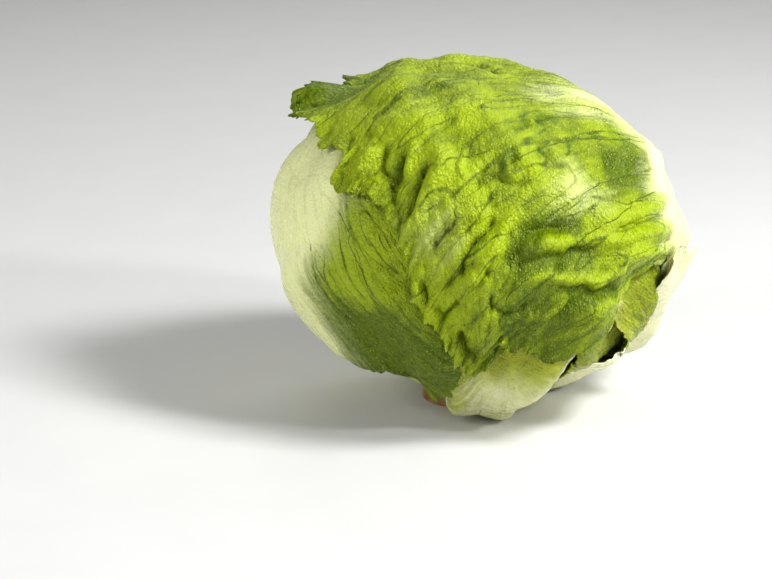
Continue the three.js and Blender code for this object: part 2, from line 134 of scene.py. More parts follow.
# Folds of the cap: width, height and a line of (longitude, latitude); a groove is negative
CAP_FOLDS = [
    (3.0, 3.2, [(80, 0), (45, 9), (28, 10), (17, 11), (13, 12)]),
    (3.6, -3.8, [(31, 13), (20, 15), (12, 14), (8, 9), (5, 4)]),
    (3.0, -3.0, [(40, 8), (22, 7), (11, 6), (7, 2)]),
    (2.2, 2.4, [(86, -5), (61, 1), (43, 4), (39, 0), (32, -1), (24, 0), (15, 2), (10, -1)]),
    (2.4, -2.4, [(62, -2), (47, -2), (36, -5), (25, -2), (17, -1)]),
    (2.2, 1.2, [(77, -5), (57, -6), (40, -7), (29, -8), (25, -14)]),
    (2.2, -1.6, [(42, -5), (30, -5), (23, -8), (19, -14)]),
    (1.7, -2.0, [(1, -2), (2, -6), (6, -9), (11, -7), (15, -3)]),
    (7.0, 3.4, [(28, 39), (25, 28), (28, 17)]),
    (2.0, -1.8, [(8, 45), (17, 47), (34, 51), (54, 49), (76, 40)]),
    (5.0, -3.6, [(46, 33), (52, 27), (64, 24)]),
    (4.0, 3.0, [(73, 30), (70, 22), (62, 13)]),
    (4.0, 2.0, [(67, 15), (48, 14), (32, 14)]),
    (4.6, 3.8, [(-14, 42), (-15, 33), (-18, 27), (-20, 21), (-22, 15), (-24, 8)]),
    (2.8, -4.2, [(-19, 34), (-21, 27), (-22, 20), (-24, 15)]),
    (1.5, 1.8, [(-7, 40), (-8, 32), (-6, 29)]),
    (1.9, 2.8, [(0, 22), (-1, 20), (-8, 15), (-12, 11), (-16, 6)]),
    (2.1, -3.8, [(-7, 18), (-12, 13), (-16, 8)]),
    (2.6, 2.8, [(12, 22), (5, 16), (2, 10), (-3, 4), (-5, -1)]),
    (2.0, -3.2, [(4, 19), (-1, 14), (-5, 8), (-7, 1)]),
    (2.6, 2.2, [(-17, 5), (-20, -3), (-17, -10), (-12, -14)]),
    (1.8, -2.6, [(-5, -4), (-12, -11), (-16, -8)]),
    (2.6, -3.2, [(-8, -16), (-5, -23), (-1, -26)]),
    (2.6, 2.2, [(5, -17), (7, -30)]),
    (2.6, -3.2, [(-38, 38), (-36, 31), (-32, 27)]),
    (3.8, 2.8, [(-44, 36), (-43, 27)]),
    (3.0, -3.8, [(-29, 38), (-29, 30), (-30, 24), (-27, 18)]),
    (2.8, 2.4, [(-26, 41), (-26, 34), (-27, 28)]),
    (3.2, 2.2, [(-54, 33), (-54, 26), (-53, 21)]),
    (2.2, -2.0, [(-54, 38), (-57, 36), (-54, 29)]),
    (4.0, 1.6, [(-54, 40), (-35, 46), (-20, 51), (0, 56)]),
    (4.0, -1.3, [(-78, 44), (-54, 51), (-36, 59), (-13, 68)]),
    (5.0, 1.8, [(-118, 57), (-86, 76), (-4, 81), (20, 71)]),
    (5.5, 2.2, [(-140, 68), (-178, 73), (61, 81), (36, 67)]),
    (3.6, -1.6, [(-153, 71), (137, 87), (16, 76)]),
    (2.6, 1.8, [(52, 62), (64, 51), (74, 39), (67, 31)]),
    (2.2, -1.6, [(96, 61), (107, 44), (101, 33)]),
    (4.5, 2.0, [(4, 32), (13, 33), (20, 32)]),
    (2.0, -1.8, [(-3, 33), (6, 29), (17, 28)]),
    (2.0, -1.6, [(90, -2), (55, 11), (36, 11)]),
    (2.2, 1.4, [(11, -12), (19, -10), (24, -3)]),
    (1.8, -2.2, [(-12, -2), (-6, 4), (-1, 7)]),
    (1.8, -2.4, [(-20, 0), (-17, -3), (-16, -8)]),
]

# Small bumps and pits of the cap: longitude, latitude, reach in millimetres, height
CAP_PITS = [
    (10, 35, 2.8, -3.0), (-2, 29, 2.4, -2.6), (3, 8, 2.6, 2.0), (-4, 1, 2.4, 2.2),
    (0, 4, 2.0, -2.2), (4, -23, 2.8, -2.6), (60, 64, 4.6, -2.2), (-81, 48, 3.4, -1.6),
    (-49, 40, 2.8, -1.8), (21, 4, 3.0, -2.0), (-21, 4, 2.6, 2.0), (-7, -17, 2.6, -2.6),
    (22, 49, 2.0, 1.6), (-13, -15, 2.0, -1.6), (-11, 48, 2.2, 1.4),
]

# The leaves from the innermost to the outermost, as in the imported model. An outline is a list
# of (longitude, latitude), and a single number is a point on the ring round the stem. A rib has
# a width, an arch and a thickness; teeth have a count, a depth and a seed; a ruffle has a height
# and a band. Flares, frill and crumpled are spots: longitude, latitude, reach in degrees, height.
# A puff lifts the whole blade inside its margin; a bulge lifts it where no other leaf covers it.
LEAVES = [
    dict(
        name="heart_leaf_right", centre=(62, 5), root=60, fan=(66, -6), rib=(12, 0, 0.6),
        teeth=(26, 3, 3), ruffle=(1.8, 12), crumple=1.0,
        outline=[
            (40, -28), (35, -8), (38, 6), (48, 20), (62, 26), (84, 24), (98, 10), (100, -12),
            (88, -30), (62, -36),
        ],
    ),
    dict(
        name="heart_leaf_back", step=1.4, centre=(-160, 10), root=-160, fan=(-160, -8),
        rib=(12, 0, 0.6), teeth=(26, 3, 4), ruffle=(0.4, 12), crumple=0.4,
        outline=[
            (150, -30), (145, 0), (155, 30), (175, 48), (-150, 50), (-118, 32), (-110, 0),
            (-120, -30), (-160, -42),
        ],
    ),
    dict(
        name="heart_leaf_left", step=1.4, centre=(-40, 20), root=-40, fan=(-45, 0),
        rib=(12, 0, 0.6), teeth=(26, 3, 5), ruffle=(0.4, 12), crumple=0.4,
        outline=[
            (-85, -20), (-88, 15), (-78, 45), (-40, 62), (0, 48), (12, 20), (2, -12), (-22, -30),
            (-55, -34),
        ],
    ),
    dict(
        name="leaf_inner_right", step=0.65, centre=(60, -40), root=66, fan=(68, -34),
        rib=(18, 1.5, 4), teeth=(40, 3, 13), ruffle=(2.6, 11), bulge=4, crumple=0.8,
        outline=[
            34, (30, -56), (26, -36), (32, -18), (38, -10), (43, -5), (48, -1), (54, 1), (62, 1),
            (74, 0), (92, -4), (106, -20), (110, -42), (104, -62), 96, 66,
        ],
    ),
    dict(
        name="leaf_torn", step=0.65, centre=(76, -20), root=78, fan=(78, -18), rib=(14, 1, 1.4),
        teeth=(46, 2.4, 18), ruffle=(2, 10), bulge=5, filled_under=(-FAR, 1 - FAR), crumple=0.8,
        outline=[
            60, (60, -56), (57, -38), (51, -26), (43, -17), (42, -8), (48, 1), (57, 9), (74, 11),
            (90, 7), (98, -16), (100, -44), 94, 78,
        ],
        crumpled=[(72, 0, 30, 0.7)],
    ),
    dict(
        name="leaf_front_left", centre=(-50, -38), root=-52, fan=(-50, -26), rib=(22, 1.4, 4),
        teeth=(32, 3, 11), ruffle=(0.6, 12), crumple=0.3,
        outline=[
            -22, (-22, -60), (-16, -42), (-20, -20), (-38, -8), (-60, -8), (-78, -20), (-84, -42),
            (-88, -62), -84, -52,
        ],
    ),
    dict(
        name="leaf_front", step=0.65, centre=(10, -34), root=20, fan=(8, -14), rib=(23, 7.5, 7),
        teeth=(32, 1.2, 12), ruffle=(0.4, 12), crumple=0.12,
        outline=[
            46, (23, -68), (20, -59), (20, -49), (24, -37), (30, -20), (24, -4), (10, 6), (-8, 2),
            (-17, -14), (-18, -34), (-18, -54), -24, 18,
        ],
    ),
    dict(
        name="leaf_back", centre=(-178, -8), root=-179, fan=(-178, -16), rib=(21, 4, 5.5),
        teeth=(46, 4, 14), ruffle=(1, 14), crumple=0.9,
        outline=[
            148, (138, -54), (122, -28), (112, 2), (120, 30), (148, 50), (180, 62), (-148, 58),
            (-124, 36), (-116, 0), (-124, -28), (-140, -54), -146, -179,
        ],
    ),
    dict(
        name="leaf_left", centre=(-86, 46), root=-126, fan=(-68, 22), rib=(24, 2, 3.6),
        teeth=(62, 3.5, 15), ruffle=(0.9, 14), flow=(-104, 58), crumple=0.6,
        outline=[
            -100, (-80, -60), (-78, -47), (-66, -41), (-54, -42), (-43, -40), (-34, -41),
            (-27, -46), (-19, -49), (-12, -45), (-7, -37), (-5, -24), (-3, -8), (-4, 10),
            (-14, 30), (-34, 46), (-62, 56), (-98, 60), (-132, 52), (-150, 26), (-152, -14),
            (-142, -46), -146, -126,
        ],
        crumpled=[(-50, -20, 26, 0.35)],
    ),
    dict(
        name="leaf_cap", step=0.95, centre=(112, 72), root=118, fan=(92, -2), rib=(24, 3, 4.4),
        teeth=(68, 3.5, 16), ruffle=(2.2, 15), puff=3.4, folds=CAP_FOLDS, pits=CAP_PITS,
        crumple=0.5,
        outline=[
            (-118, 41), (-108, 37), (-98, 28), (-80, 33), (-70, 28), (-62, 31), (-54, 27),
            (-53, 19), (-46, 19), (-36, 19), (-29, 14), (-24, 5), (-21, -7), (-15, -17),
            (-10, -26), (-4, -34), (4, -27), (12, -24), (18, -27), (25, -25), (32, -22),
            (36, -17), (39, -12), (44, -10), (54, -8), (65, -4), (76, -10), (85, -28), (92, -52),
            94, 116, 134, (142, -52), (146, -20), (152, 10), (172, 30), (-160, 38), (-136, 38),
        ],
        flares=[(-104, 35, 12, 12)],
        frill=[(-104, 36, 15, 1.1), (42, -12, 22, -0.9)],
        crumpled=[(-8, 16, 19, 0.7), (4, -14, 16, 0.3), (-45, 28, 14, 0.3), (160, 40, 60, 0.5)],
    ),
    dict(
        name="leaf_right", step=0.65, centre=(82, -34), root=80, fan=(86, -26),
        rib=(22, 2.5, 4.6), teeth=(44, 2.6, 17), ruffle=(1.6, 10), filled_under=(-14, -4),
        crumple=0.3,
        outline=[
            66, (56, -58), (44, -45), (34, -38), (38, -33), (47, -30), (56, -28), (63, -22),
            (62, -10), (64, 1), (74, 1), (86, -3), (100, -8), (116, -20), (124, -40), (120, -60),
            112, 80,
        ],
        flares=[(62, -20, 20, -1.2)],
    ),
]

# Where leaves are pale, with a painted highlight among the cap's spots: longitude, latitude, reach
# in degrees, strength
PALE_AND_HIGHLIGHT_SPOTS = {
    "leaf_cap": [
        # (36, 28) and (28, 26) are a painted highlight on the shoulder of the cap; the rest is the
        # leaf's own pale base
        (80, 50, 16, 0.62), (74, 20, 11, 0.5), (84, 14, 19, 1.4), (36, 28, 9, 0.2),
        (112, -12, 34, 1.0), (50, 62, 14, 0.3), (28, 26, 12, 0.4), (50, 33, 10, -0.4),
        (-16, 14, 12, 0.3),
    ],
    "leaf_left": [
        (-78, 18, 22, 1.25), (-100, 4, 24, 0.9), (-60, 14, 14, 0.5), (-126, -40, 40, 0.9),
    ],
    "leaf_back": [(-178, -50, 42, 0.9)],
    "leaf_front": [(4, -50, 50, -0.3), (30, -36, 8, 0.9)],
    "leaf_front_left": [(-52, -60, 70, 1.1)],
    "leaf_right": [(84, -50, 60, 1.4)],
    "leaf_inner_right": [(66, -60, 34, 0.8)],
    "leaf_torn": [(80, 4, 16, 0.7), (44, -12, 6, 0.6)],
}
# Where leaves are darker green, and where shade is painted in the valleys, the pocket under the
# cap, the bottom of the cap and the shaded frill; a negative strength paints light on parts that
# face the lamps: longitude, latitude, reach in degrees, strength
SHADE_AND_DARK_SPOTS = {
    "leaf_cap": [
        (14, -18, 17, 0.7), (16, 9, 16, 0.45), (52, 30, 14, 0.4), (-104, 36, 13, 0.9),
        (-30, 12, 12, 0.4), (-8, 18, 15, -0.8), (-12, -10, 13, -0.6), (-62, 50, 20, -0.4),
        (-42, 30, 12, -0.3), (-10, 80, 15, 0.4), (2, 37, 15, 0.35),
    ],
    "leaf_left": [
        (-46, -28, 18, 1.2), (-40, 4, 14, -0.6), (-20, -30, 18, 0.8), (-90, -30, 24, 0.8),
    ],
    "leaf_inner_right": [(50, -26, 22, 0.8)],
    "leaf_torn": [(58, -10, 16, 0.7)],
    "leaf_back": [(-178, 20, 40, 0.5)],
}


def seeded(index, seed):
    """A number from 0 to 1 that depends only on its index and seed."""
    s = np.sin(np.asarray(index) * 127.1 + seed * 311.7) * 43758.5453
    return s - np.floor(s)


def smooth(low, high, x):
    t = np.clip((x - low) / (high - low), 0, 1)
    return t * t * (3 - 2 * t)


def unit(v):
    return v / np.linalg.norm(v, axis=-1, keepdims=True)


def direction(at):
    """Longitude 0 is the front (-Y) and 90 the right (+X); latitude 90 is up."""
    lon, lat = at[0] * DEGREE, at[1] * DEGREE
    return np.array([
        math.cos(lat) * math.sin(lon),
        -math.cos(lat) * math.cos(lon),
        math.sin(lat),
    ])


def root_direction(longitude):
    """The direction of the point on the ring round the stem where a leaf's base ends."""
    lon = longitude * DEGREE
    point = np.array([
        LEAF_ROOT_RADIUS * math.sin(lon),
        -LEAF_ROOT_RADIUS * math.cos(lon),
        LEAF_ROOT_HEIGHT,
    ])
    return unit(point - HEAD_CENTRE)


def angle_to(dirs, axis):
    return np.arccos(np.clip(dirs @ axis, -1, 1))


def corner_gradients(cell, seed):
    """Three numbers from -1 to 1 for each cell of a grid, by an integer hash."""
    n = cell[..., 0] * 73856093 ^ cell[..., 1] * 19349663 ^ cell[..., 2] * 83492791
    n = (n ^ (seed * 2654435761)) & 0xFFFFFFFF
    gradients = []
    for _ in range(3):
        n = ((n ^ (n >> 15)) * 2246822519) & 0xFFFFFFFF
        n = ((n ^ (n >> 13)) * 3266489917) & 0xFFFFFFFF
        gradients.append(n / 2147483648.0 - 1)
    return np.stack(gradients, -1)


def noise(points, size, seed):
    """Smooth noise from about -1 to 1, with lumps of the given size."""
    p = points / size
    cell = np.floor(p).astype(np.int64)
    f = p - cell
    w = f * f * f * (f * (f * 6 - 15) + 10)
    total = np.zeros(len(points))
    for corner in np.ndindex(2, 2, 2):
        offset = np.array(corner)
        share = np.prod(np.where(offset == 1, w, 1 - w), axis=-1)
        total += share * np.sum(corner_gradients(cell + offset, seed) * (f - offset), -1)
    return np.clip(total * 1.5, -1, 1)


def layered_noise(points, size, seed, octaves=3):
    total = sum(noise(points, size / 2**k, seed + k) / 2**k for k in range(octaves))
    return total / (2 - 2.0 ** (1 - octaves))


class Chart:
    """A flat chart of the ball round a centre, with true distances from the centre."""

    def __init__(self, centre):
        self.centre = direction(centre)
        self.east = unit(np.cross([0, 0, 1], self.centre))
        self.north = np.cross(self.centre, self.east)

    def to_plane(self, dirs):
        angle = angle_to(dirs, self.centre)
        bearing = np.arctan2(dirs @ self.north, dirs @ self.east)
        length = CHART_RADIUS * angle
        return np.stack([length * np.cos(bearing), length * np.sin(bearing)], -1)

    def spot(self, at):
        """The place of one (longitude, latitude) on the chart."""
        return self.to_plane(direction(at)[None])[0]

    def to_direction(self, points):
        length = np.maximum(np.linalg.norm(points, axis=-1), 1e-9)
        angle = length / CHART_RADIUS
        ahead = np.cos(angle)[:, None] * self.centre
        east = (np.sin(angle) * points[:, 0] / length)[:, None] * self.east
        north = (np.sin(angle) * points[:, 1] / length)[:, None] * self.north
        return ahead + east + north


def curve_point(a, b, c, d, t):
    """A point between b and c on the smooth curve through four points."""
    return 0.5 * (
        (-t + 2 * t * t - t**3) * a
        + (2 - 5 * t * t + 3 * t**3) * b
        + (t + 4 * t * t - 3 * t**3) * c
        + (-t * t + t**3) * d
    )


def smooth_ring(points, steps):
    n = len(points)
    return np.array([
        curve_point(*(points[(i + k) % n] for k in (-1, 0, 1, 2)), step / steps)
        for i in range(n)
        for step in range(steps)
    ])


def smooth_line(points, steps=6):
    ends = [2 * points[0] - points[1], *points, 2 * points[-1] - points[-2]]
    line = [
        curve_point(*ends[i:i + 4], step / steps)
        for i in range(len(points) - 1)
        for step in range(steps)
    ]
    return np.array(line + [points[-1]])


def ring_length(ring):
    return np.linalg.norm(np.roll(ring, -1, axis=0) - ring, axis=1).sum()


def even_ring(ring, count):
    """The same ring with its points at equal distances."""
    closed = np.vstack([ring, ring[:1]])
    lengths = np.concatenate([[0], np.cumsum(np.linalg.norm(np.diff(closed, axis=0), axis=1))])
    at = np.arange(count) * lengths[-1] / count
    return np.stack([np.interp(at, lengths, closed[:, k]) for k in (0, 1)], -1)


def distance_to_line(points, line):
    """Distance from each point to a broken line, and the share of the way along it."""
    nearest = np.full(len(points), np.inf)
    share = np.zeros(len(points))
    steps = len(line) - 1
    for i in range(steps):
        a, s = line[i], line[i + 1] - line[i]
        t = np.clip(((points - a) @ s) / (s @ s), 0, 1)
        d = np.linalg.norm(points - a - t[:, None] * s, axis=1)
        closer = d < nearest
        nearest = np.where(closer, d, nearest)
        share = np.where(closer, (i + t) / steps, share)
    return nearest, share


def inside_ring(points, ring):
    inside = np.zeros(len(points), bool)
    j = len(ring) - 1
    for i in range(len(ring)):
        a, b = ring[i], ring[j]
        crosses = (a[1] > points[:, 1]) != (b[1] > points[:, 1])
        if crosses.any():
            at = a[0] + (b[0] - a[0]) * (points[:, 1] - a[1]) / (b[1] - a[1])
            inside ^= crosses & (points[:, 0] < at)
        j = i
    return inside


class MarginField:
    """How far a point of the chart lies outside a margin, or inside it as a negative number."""

    STEP = 1.5

    def __init__(self, ring):
        self.half = np.abs(ring).max() + FAR
        self.count = int(2 * self.half / self.STEP) + 2
        axis = np.arange(self.count) * self.STEP - self.half
        grid = np.stack(np.meshgrid(axis, axis, indexing="ij"), -1).reshape(-1, 2)
        closed = np.vstack([ring, ring[:1]])
        distance, _ = distance_to_line(grid, closed)
        signed = np.where(inside_ring(grid, ring), -distance, distance)
        self.values = signed.reshape(self.count, self.count)

    def at(self, points):
        place = (points + self.half) / self.STEP
        outside = (place < 0).any(axis=1) | (place > self.count - 1.001).any(axis=1)
        place = np.clip(place, 0, self.count - 1.001)
        i, j = place.astype(int).T
        u, v = (place - np.floor(place)).T
        grid = self.values
        low = grid[i, j] * (1 - u) + grid[i + 1, j] * u
        high = grid[i, j + 1] * (1 - u) + grid[i + 1, j + 1] * u
        return np.where(outside, FAR, low * (1 - v) + high * v)


class Leaf:
    def __init__(
        self, level, name, centre, outline, root, fan, rib, teeth, ruffle, crumple,
        step=MARGIN_STEP, puff=0, bulge=0, flow=None, folds=(), pits=(), flares=(), frill=(),
        crumpled=(), filled_under=FILLED_BAND,
    ):
        self.name = name
        self.level = level
        self.in_heart = name.startswith("heart")
        self.chart = Chart(centre)
        dirs = [root_direction(p) if np.isscalar(p) else direction(p) for p in outline]
        self.ring = smooth_ring(self.chart.to_plane(np.array(dirs)), 6)
        self.field = MarginField(self.ring)
        self.root_dir = root_direction(root)
        self.fan_dir = direction(fan)
        self.flow = self.chart.spot(flow) if flow else None
        self.rib_width, self.rib_arch, self.rib_thickness = rib
        self.teeth_count, self.teeth_depth, self.seed = teeth
        self.ruffle_height, self.ruffle_band = ruffle
        self.step = step
        self.puff = puff
        self.bulge = bulge
        self.folds = folds
        self.pits = pits
        self.flares = flares
        self.frill = frill
        self.crumple = crumple
        self.crumpled = crumpled
        self.filled_under = filled_under

    def past(self, dirs):
        return self.field.at(self.chart.to_plane(dirs))

    def rib_profile(self, dirs):
        """1 on the midrib, fading sideways and towards the fan, and low at the very base."""
        side = unit(np.cross(self.root_dir, self.fan_dir))
        forward = np.cross(side, self.root_dir)
        length = math.acos(self.root_dir @ self.fan_dir)
        share = np.clip(np.arctan2(dirs @ forward, dirs @ self.root_dir) / length, 0, 1)
        beside = np.abs(np.arcsin(np.clip(dirs @ side, -1, 1)))
        beyond = np.where(share > 0, angle_to(dirs, self.fan_dir), angle_to(dirs, self.root_dir))
        offset = CHART_RADIUS * np.where((share > 0) & (share < 1), beside, beyond)
        along = (0.3 + 0.7 * smooth(0, 0.25, share)) * (1 - smooth(0.4, 1, share))
        return along * np.exp(-((offset / self.rib_width) ** 2))


def swelling(spot, dirs):
    lon, lat, reach, height = spot
    angle = angle_to(dirs, direction((lon, lat))) / DEGREE
    return height * np.exp(-((angle / reach) ** 2))


def placed_strength(spots, dirs):
    return sum((swelling(spot, dirs) for spot in spots), np.zeros(len(dirs)))


def head_radius(dirs):
    x, y, z = dirs.T
    a, b, c = HEAD_SEMI_AXES
    wide = (x * math.cos(HEAD_LEAN) - z * math.sin(HEAD_LEAN)) / a
    tall = (x * math.sin(HEAD_LEAN) + z * math.cos(HEAD_LEAN)) / c
    radius = 1 / np.sqrt(wide**2 + (y / b) ** 2 + tall**2)
    return radius + placed_strength(HEAD_SWELLS, dirs)


def shared_lumps(dirs):
    x, y, z = dirs.T
    return (
        1.3 * np.sin(4.1 * x + 2.3 * z + 0.6)
        + 1.0 * np.sin(5.3 * y - 3.1 * z + 2.2)
        + 0.8 * np.sin(7.7 * x + 5.9 * y + 4.0)
    )


def rest_on_floor(z):
    pressed = FLOOR_BLEND * np.exp((np.minimum(z, FLOOR_BLEND) - FLOOR_BLEND) / FLOOR_BLEND)
    return np.where(z < FLOOR_BLEND, pressed, z)


def solid_thickness(leaf, dirs):
    return SOLID_BLADE + leaf.rib_thickness * leaf.rib_profile(dirs)


def core_radius(dirs):
    """The heart gives way under its leaves, so the head keeps its own outline."""
    radius = head_radius(dirs) + shared_lumps(dirs)
    for leaf in leaves:
        cover = 1 - smooth(-STACK_BAND, STACK_BAND, leaf.past(dirs))
        radius -= cover * (solid_thickness(leaf, dirs) + leaf.puff + GAP)
    return radius


def inner_radius(level, dirs):
    """Radius at which a leaf's inner face lies: the core and every leaf below it."""
    radius = core_radius(dirs) + CORE_GAP
    for below in leaves[:level]:
        past = below.past(dirs)
        cover = 1 - smooth(3, MARGIN_BAND, past)
        ruffle = below.ruffle_height * smooth(-below.ruffle_band, -2, past)
        puff = below.puff * smooth(-2, -PUFF_BAND, past)
        lift = below.rib_arch * below.rib_profile(dirs) + puff + ruffle
        radius += cover * (lift + solid_thickness(below, dirs) + GAP)
    return radius


def clearance(leaf, dirs):
    """Distance to the nearest margin of the leaves above; negative under one of them."""
    nearest = np.full(len(dirs), float(FAR))
    for above in leaves[leaf.level + 1:]:
        nearest = np.minimum(nearest, above.past(dirs))
    return nearest


def filling(leaf, dirs):
    """1 in the open pocket and a little way under its margins, 0 under the leaves above."""
    share = np.ones(len(dirs))
    for above in leaves[leaf.level + 1:]:
        share = np.minimum(share, smooth(*above.filled_under, above.past(dirs)))
    return share


def margin_insets(leaf, count):
    """How far the torn margin stands back at each of its points, in millimetres."""
    coarse = 2 * leaf.teeth_count
    k = np.arange(coarse)
    notch = (k % 2) * leaf.teeth_depth * (0.3 + 0.7 * seeded(k, leaf.seed))
    stretch = 0.6 * leaf.teeth_depth * seeded(k // 7, leaf.seed + 1)
    at = np.arange(count) * coarse / count
    inset = np.interp(at, np.arange(coarse + 1), np.append(notch + stretch, notch[0] + stretch[0]))
    round_line = np.arange(count) * 2 * math.pi / count
    radius = count * leaf.step / (2 * math.pi)
    ring = np.stack([np.cos(round_line), np.sin(round_line), 0 * round_line], -1) * radius
    coarse_fray = np.abs(noise(ring, FRAY_SIZES[0], leaf.seed)) * 1.5
    fine_fray = np.abs(noise(ring, FRAY_SIZES[1], leaf.seed + 7))
    return inset + leaf.teeth_depth * 0.45 * (coarse_fray + fine_fray)


def ring_shares(reach, step, widest):
    """Sizes of the rings from the margin to the centre, and how dense the points on each are."""
    shares = []
    gap = step
    at = reach
    while at > gap / 2:
        shares.append((at / reach, step / gap))
        at -= gap
        gap = min(widest * step, gap * 1.3)
    return shares


def leaf_grid(leaf, widest):
    """Points of the chart in rings from the margin to the centre, their place round the
    margin, and the triangles between the rings."""
    count = int(ring_length(leaf.ring) / leaf.step)
    margin = even_ring(leaf.ring, count)
    reach = np.linalg.norm(margin, axis=1)
    inset = margin_insets(leaf, count) / reach
    points, rounds, faces = [], [], []
    start = 0
    outer = None
    for scale, density in ring_shares(reach.mean(), leaf.step, widest):
        ring_count = max(8, round(count * scale * density))
        k = np.arange(ring_count) * count / ring_count
        low = np.floor(k).astype(int)
        t = (k - low)[:, None]
        base = margin[low] * (1 - t) + margin[(low + 1) % count] * t
        cut = inset[low] * (1 - t[:, 0]) + inset[(low + 1) % count] * t[:, 0]
        toothed = 1 - cut * smooth(0.8, 1, scale)
        points.append(base * (scale * toothed)[:, None])
        rounds.append(k / count)
        if outer:
            faces += band_faces(*outer, start, ring_count)
        outer = (start, ring_count)
        start += ring_count
    points.append(np.zeros((1, 2)))
    rounds.append(np.zeros(1))
    faces += [(outer[0] + i, outer[0] + (i + 1) % outer[1], start) for i in range(outer[1])]
    return np.vstack(points), np.concatenate(rounds), np.array(faces), count


def band_faces(outer_start, outer_count, inner_start, inner_count):
    """Triangles between two closed rings of points, of which the inner one has fewer."""
    faces = []
    j = 0
    for i in range(outer_count):
        after = outer_start + (i + 1) % outer_count
        inner = inner_start + j % inner_count
        faces.append((outer_start + i, after, inner))
        if (j + 1) * outer_count <= (i + 1) * inner_count:
            j += 1
            faces.append((after, inner_start + j % inner_count, inner))
    return faces


class Veins:
    """A branching net that grows from the midrib towards points scattered over the leaf."""

    STEP = 1.5
    REACHED = 3.6
    AREA_PER_TARGET = 34
    STRAIGHTNESS = 0.7
    MARGIN = 1.5
    ROUNDS = 160
    SMOOTHINGS = 8
    SIZE_POWER = 0.42

    def __init__(self, leaf):
        rng = np.random.default_rng(leaf.seed)
        root, fan = leaf.chart.to_plane(np.stack([leaf.root_dir, leaf.fan_dir]))
        length = np.linalg.norm(fan - root)
        steps = int(length / self.STEP)
        self.points = root + np.linspace(0, 1, steps + 1)[:, None] * (fan - root)
        self.parents = np.arange(-1, steps)
        self.fan = fan
        low, high = leaf.ring.min(0), leaf.ring.max(0)
        count = int(np.prod(high - low) / self.AREA_PER_TARGET)
        targets = low + rng.random((count, 2)) * (high - low)
        targets = targets[leaf.field.at(targets) < -self.MARGIN]
        self.grow(targets)
        self.measure()

    def grow(self, targets):
        nearest = np.full(len(targets), np.inf)
        owner = np.zeros(len(targets), int)
        fresh = np.arange(len(self.points))
        for _ in range(self.ROUNDS):
            gaps = np.linalg.norm(targets[:, None] - self.points[fresh][None], axis=-1)
            best = gaps.argmin(1)
            shortest = gaps[np.arange(len(targets)), best]
            closer = shortest < nearest
            nearest = np.where(closer, shortest, nearest)
            owner = np.where(closer, fresh[best], owner)
            kept = nearest > self.REACHED
            targets, nearest, owner = targets[kept], nearest[kept], owner[kept]
            if not len(targets):
                break
            pull = np.zeros_like(self.points)
            np.add.at(pull, owner, (targets - self.points[owner]) / nearest[:, None])
            growing = np.unique(owner)
            outward = self.points[growing] - self.fan
            outward /= np.maximum(np.linalg.norm(outward, axis=1, keepdims=True), 1)
            heading = unit(pull[growing] + 1e-6)
            heading = unit(heading + self.STRAIGHTNESS * outward)
            new = self.points[growing] + self.STEP * heading
            fresh = np.arange(len(self.points), len(self.points) + len(new))
            self.points = np.vstack([self.points, new])
            self.parents = np.concatenate([self.parents, growing])

    def measure(self):
        """Smooths the net, and gives every point the size of what it feeds."""
        count = len(self.points)
        has_parent = self.parents >= 0
        children = np.zeros(count)
        np.add.at(children, self.parents[has_parent], 1)
        for _ in range(self.SMOOTHINGS):
            total = self.points * 2
            weight = np.full(count, 2.0)
            total[has_parent] += self.points[self.parents[has_parent]]
            weight[has_parent] += 1
            np.add.at(total, self.parents[has_parent], self.points[has_parent])
            np.add.at(weight, self.parents[has_parent], 1)
            inner = has_parent & (children > 0)
            self.points = np.where(inner[:, None], total / weight[:, None], self.points)
        fed = np.maximum(1 - np.minimum(children, 1), 0)
        for i in range(count - 1, 0, -1):
            if self.parents[i] >= 0:
                fed[self.parents[i]] += fed[i]
        self.size = fed**self.SIZE_POWER

    def offsets(self, points):
        """Signed offset from the nearest vein, distance to it, and its size."""
        own = np.arange(len(self.points))[self.parents >= 0]
        start = self.points[self.parents[own]]
        along = self.points[own] - start
        shares = (0.0, 0.25, 0.5, 0.75)
        samples = np.vstack([start + share * along for share in shares])
        tangents = np.vstack([along] * len(shares))
        sizes = np.concatenate([self.size[own]] * len(shares))
        tree = kdtree.KDTree(len(samples))
        for i, (x, y) in enumerate(samples):
            tree.insert((x, y, 0), i)
        tree.balance()
        nearest = np.array([tree.find((x, y, 0))[1] for x, y in points])
        gap = points - samples[nearest]
        t = unit(tangents[nearest] + 1e-9)
        signed = t[:, 0] * gap[:, 1] - t[:, 1] * gap[:, 0]
        return signed, np.linalg.norm(gap, axis=1), sizes[nearest]


def with_zero(points):
    """Places on the chart as points in space, for the noise."""
    return np.column_stack([points, 0 * points[:, 0]])


def line_relief(leaf, points):
    """Height of the folds, bumps and pits that were placed one by one."""
    relief = np.zeros(len(points))
    flat = with_zero(points)
    shift = np.stack([noise(flat, FOLD_WARP_SIZE, leaf.seed + k) for k in (31, 32)], -1)
    warped = points + FOLD_WARP * shift
    for width, height, course in leaf.folds:
        line = smooth_line(leaf.chart.to_plane(np.array([direction(at) for at in course])))
        distance, share = distance_to_line(warped, line)
        taper = smooth(0, 0.2, share) * smooth(1, 0.75, share)
        roundness = 2 if height > 0 else 1.35
        relief += height * taper * np.exp(-((distance / width) ** roundness))
    for lon, lat, reach, height in leaf.pits:
        distance = np.linalg.norm(warped - leaf.chart.spot((lon, lat)), axis=1)
        relief += height * np.exp(-((distance / reach) ** 2))
    return relief


def fan_coordinates(leaf, points):
    """Distance from the fan and bearing round it."""
    fan = leaf.chart.to_plane(leaf.fan_dir[None])[0]
    root = leaf.chart.to_plane(leaf.root_dir[None])[0]
    start = fan + 0.25 * (root - fan) if leaf.flow is None else leaf.flow
    away = points - start
    rho = np.linalg.norm(away, axis=1)
    toward = unit(fan - root)
    theta = np.arctan2(
        toward[0] * away[:, 1] - toward[1] * away[:, 0],
        away @ toward,
    )
    return rho, theta


def fan_cells(rho, theta, cells):
    """Places in long thin cells that fan out with the veins."""
    length, number = cells
    return np.column_stack([rho / length, theta * number, 0 * rho])


